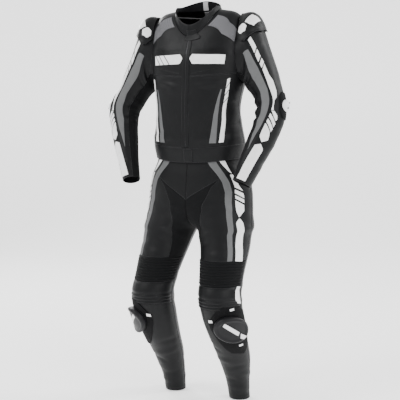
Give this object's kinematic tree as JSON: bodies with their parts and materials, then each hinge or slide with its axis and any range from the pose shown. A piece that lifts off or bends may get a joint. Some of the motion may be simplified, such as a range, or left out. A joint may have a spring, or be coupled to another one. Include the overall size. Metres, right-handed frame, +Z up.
{
  "type": "motorcycle race suit",
  "caption": "Hollow jacket and trousers of a motorcycle race suit, filled out with no wearer, with stand collar, shoulder cups, elbow sliders, ribbed knees and knee sliders",
  "frame": {"origin": "the middle of the chest opening at shoulder height, where the wearer's shoulders hold the suit up, 1.345 m above the plane of the trouser hems", "axes": "+Z is up through the neck, -Y is the suit's front, +X is the wearer's left"},
  "size_m": [0.716, 0.3309, 1.4479],
  "materials": {
    "black_leather": "grained, satin",
    "stretch_cloth": "matt stretch weave",
    "grey_leather": "satin",
    "perforated_leather": "satin, fine holes",
    "white_leather": "satin",
    "black_plastic": "matt",
    "slider_plastic": "semi-gloss",
    "white_plastic": "semi-gloss",
    "mesh_cloth": "open mesh",
    "zip_tape": "woven tape"
  },
  "bodies": {
    "root": {"front_lower_left": "black_leather", "front_lower_right": "black_leather", "front_upper_left": "black_leather", "front_upper_right": "black_leather", "chest_band_left": "white_leather", "chest_band_right": "white_leather", "side_strip_left": "white_leather", "side_strip_right": "white_leather", "shoulder_inlay_left": "perforated_leather", "shoulder_inlay_right": "perforated_leather", "sleeve_outer_left": "black_leather", "sleeve_outer_right": "black_leather", "sleeve_inner_left": "stretch_cloth", "sleeve_inner_right": "stretch_cloth", "sleeve_grey_strip_left": "grey_leather", "sleeve_grey_strip_right": "grey_leather", "sleeve_white_strip_left": "white_leather", "sleeve_white_strip_right": "white_leather", "forearm_white_band_left": "white_leather", "forearm_white_band_right": "white_leather", "elbow_base_left": "black_plastic", "elbow_base_right": "black_plastic", "elbow_slider_left": "white_plastic", "elbow_slider_right": "white_plastic", "shoulder_cup_left": "black_leather", "shoulder_cup_right": "black_leather", "cup_insert_left": "white_leather", "cup_insert_right": "white_leather", "hip_front_left": "black_leather", "hip_front_right": "black_leather", "thigh_inner_left": "stretch_cloth", "thigh_inner_right": "stretch_cloth", "thigh_front_left": "black_leather", "thigh_front_right": "black_leather", "accordion_left": "stretch_cloth", "accordion_right": "stretch_cloth", "knee_left": "black_leather", "knee_right": "black_leather", "shin_left": "black_leather", "shin_right": "black_leather", "leg_back_left": "black_leather", "leg_back_right": "black_leather", "thigh_grey_strip_left": "grey_leather", "thigh_grey_strip_right": "grey_leather", "thigh_white_strip_left": "white_leather", "thigh_white_strip_right": "white_leather", "knee_patch_left": "white_leather", "knee_patch_right": "white_leather", "slider_base_left": "black_plastic", "slider_base_right": "black_plastic", "knee_slider_left": "slider_plastic", "knee_slider_right": "slider_plastic", "zip": "zip_tape", "back_panel": "black_leather", "back_yoke": "black_leather", "waistband": "black_leather", "collar": "black_leather", "neck_facing": "mesh_cloth", "hanger_loop": "grey_leather", "neck_tab": "black_leather"}
  },
  "joints": []
}
